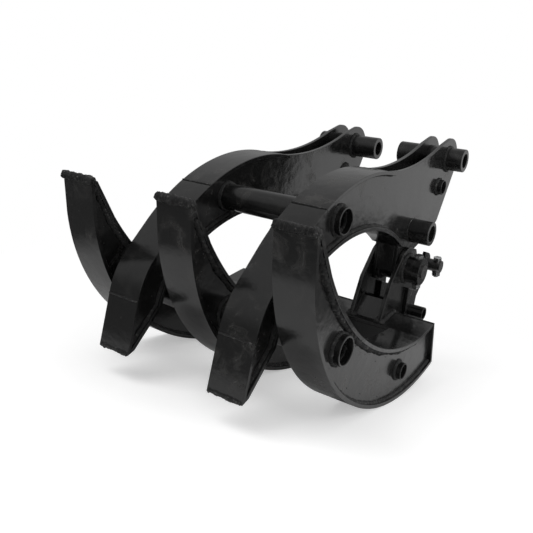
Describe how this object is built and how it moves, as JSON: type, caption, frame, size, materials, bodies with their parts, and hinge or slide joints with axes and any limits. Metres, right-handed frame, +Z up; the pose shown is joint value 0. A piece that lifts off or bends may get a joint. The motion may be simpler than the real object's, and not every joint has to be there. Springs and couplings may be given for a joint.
{
  "type": "log grapple",
  "caption": "Pin-on log grapple whose upper and lower curved box tines pass between each other, with cross tubes, pinned side hinges and machine pin bosses.",
  "frame": {"origin": "middle of the bounding box in plan, on the floor the part stands on", "axes": "+X to the side along every pin and cross tube, -Y towards the tine tips, +Z up with the grapple closed and rocking freely on its lower tines"},
  "size_m": [0.74, 1.1773, 0.7658],
  "materials": {
    "black_paint": "gloss",
    "pin_steel": "oiled, dark",
    "bush_steel": "greased",
    "zinc_fastener": "bright zinc"
  },
  "bodies": {
    "upper_jaw": {"arm_pin_boss_left": "black_paint", "arm_pin_boss_right": "black_paint", "hinge_barrel_left": "black_paint", "hinge_barrel_right": "black_paint", "hinge_bush_left": "bush_steel", "hinge_bush_right": "bush_steel", "hinge_neck_plates": "black_paint", "link_pin_boss_left": "black_paint", "link_pin_boss_right": "black_paint", "upper_cross_tube": "black_paint", "upper_lashing_tube_left": "black_paint", "upper_lashing_tube_right": "black_paint", "upper_left_arch_wrap": "black_paint", "upper_left_crown_wrap": "black_paint", "upper_left_knee_wrap": "black_paint", "upper_left_side_a": "black_paint", "upper_left_side_b": "black_paint", "upper_left_tip_wrap": "black_paint", "upper_right_arch_wrap": "black_paint", "upper_right_crown_wrap": "black_paint", "upper_right_knee_wrap": "black_paint", "upper_right_side_a": "black_paint", "upper_right_side_b": "black_paint", "upper_right_tip_wrap": "black_paint"},
    "lower_jaw": {"beam_rear_plate": "black_paint", "beam_top_plate": "black_paint", "beam_web_left": "black_paint", "beam_web_right": "black_paint", "bracket_gusset_left": "black_paint", "bracket_gusset_right": "black_paint", "bracket_inner_left": "black_paint", "bracket_inner_right": "black_paint", "bracket_outer_left": "black_paint", "bracket_outer_right": "black_paint", "foot_lugs": "black_paint", "foot_tube_left": "black_paint", "foot_tube_right": "black_paint", "hinge_pin_boss_left": "black_paint", "hinge_pin_boss_right": "black_paint", "hinge_pin_left": "pin_steel", "hinge_pin_right": "pin_steel", "keeper_bolts": "zinc_fastener", "keeper_nuts": "zinc_fastener", "lower_centre_back_wrap": "black_paint", "lower_centre_side_a": "black_paint", "lower_centre_side_b": "black_paint", "lower_centre_throat_wrap": "black_paint", "lower_cross_tube": "black_paint", "lower_lashing_tube_left": "black_paint", "lower_lashing_tube_right": "black_paint", "lower_left_back_wrap": "black_paint", "lower_left_side_a": "black_paint", "lower_left_side_b": "black_paint", "lower_left_throat_wrap": "black_paint", "lower_right_back_wrap": "black_paint", "lower_right_side_a": "black_paint", "lower_right_side_b": "black_paint", "lower_right_throat_wrap": "black_paint", "rod_pin_left": "pin_steel", "rod_pin_right": "pin_steel"}
  },
  "joints": [
    {"name": "jaw_hinge", "type": "hinge", "parent": "upper_jaw", "child": "lower_jaw", "pos_m": [0, 0.284, 0.33447], "axis": [1, 0, 0], "range_deg": [0, 60]}
  ]
}
